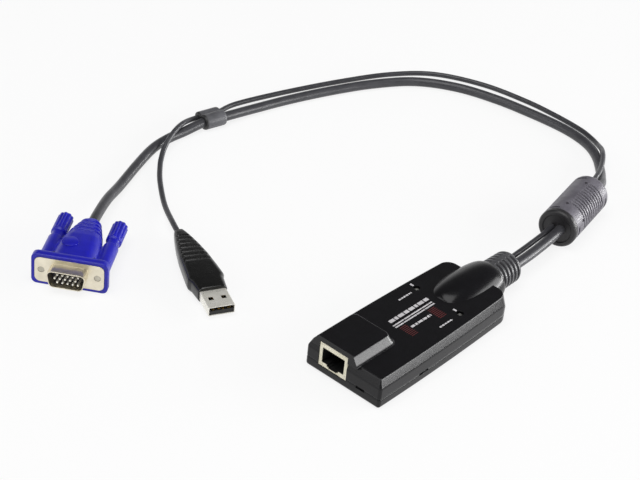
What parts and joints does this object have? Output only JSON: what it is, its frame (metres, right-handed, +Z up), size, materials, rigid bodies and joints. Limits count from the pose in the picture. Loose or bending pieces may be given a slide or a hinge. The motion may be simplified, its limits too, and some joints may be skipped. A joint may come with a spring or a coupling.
{
  "type": "kvm adapter",
  "caption": "Small network-jack housing with two cables through a ferrite and a clip to a 15-pin video plug and a USB plug.",
  "frame": {"origin": "bottom centre of the housing with its boot, on the surface it lies on", "axes": "+X from the network jack to the cables, +Z up"},
  "size_m": [0.2968, 0.2082, 0.019],
  "materials": {
    "housing_plastic": "glossy",
    "cable_jacket": "satin",
    "moulded_grey": "satin",
    "blue_plastic": "satin",
    "black_plastic": "satin",
    "nickel": "satin",
    "gold": "polished",
    "cream_shield": "satin",
    "green_board": "satin",
    "lamp_lens": "glossy"
  },
  "bodies": {
    "root": {"top_cover": "housing_plastic", "bottom_cover": "housing_plastic", "circuit_board": "green_board", "board_screws": "nickel", "controller_chip": "black_plastic", "video_chip": "black_plastic", "crystal_oscillator": "nickel", "board_capacitors": "nickel", "rj45_housing": "black_plastic", "rj45_shield": "cream_shield", "rj45_contacts": "gold", "online_led": "lamp_lens", "power_led": "lamp_lens", "video_header": "cream_shield", "usb_header": "cream_shield", "lead_wires": "cable_jacket", "cable_boot": "moulded_grey", "vga_cable": "cable_jacket", "usb_cable": "cable_jacket", "ferrite_core": "black_plastic", "ferrite_jacket": "moulded_grey", "cable_clip": "moulded_grey", "vga_hood": "blue_plastic", "vga_shell": "nickel", "vga_insulator": "black_plastic", "vga_pins": "gold", "usb_hood": "black_plastic", "usb_shell": "nickel", "usb_insulator": "black_plastic", "usb_contacts": "gold"},
    "left_screw_carrier": {"left_retaining_ring": "nickel"},
    "left_thumb_screw": {"left_jackscrew": "nickel", "left_knob": "blue_plastic"},
    "right_screw_carrier": {"right_retaining_ring": "nickel"},
    "right_thumb_screw": {"right_jackscrew": "nickel", "right_knob": "blue_plastic"}
  },
  "joints": [
    {"name": "left_screw_float", "type": "slide", "parent": "root", "child": "left_screw_carrier", "axis": [-0.8387, -0.5446, 0], "range_m": [0, 0.004]},
    {"name": "left_screw_turn", "type": "hinge", "parent": "left_screw_carrier", "child": "left_thumb_screw", "pos_m": [-0.07863, 0.14983, 0.0078], "axis": [-0.8387, -0.5446, 0], "continuous": true},
    {"name": "right_screw_float", "type": "slide", "parent": "root", "child": "right_screw_carrier", "axis": [-0.8387, -0.5446, 0], "range_m": [0, 0.004]},
    {"name": "right_screw_turn", "type": "hinge", "parent": "right_screw_carrier", "child": "right_thumb_screw", "pos_m": [-0.06501, 0.12887, 0.0078], "axis": [-0.8387, -0.5446, 0], "continuous": true}
  ]
}
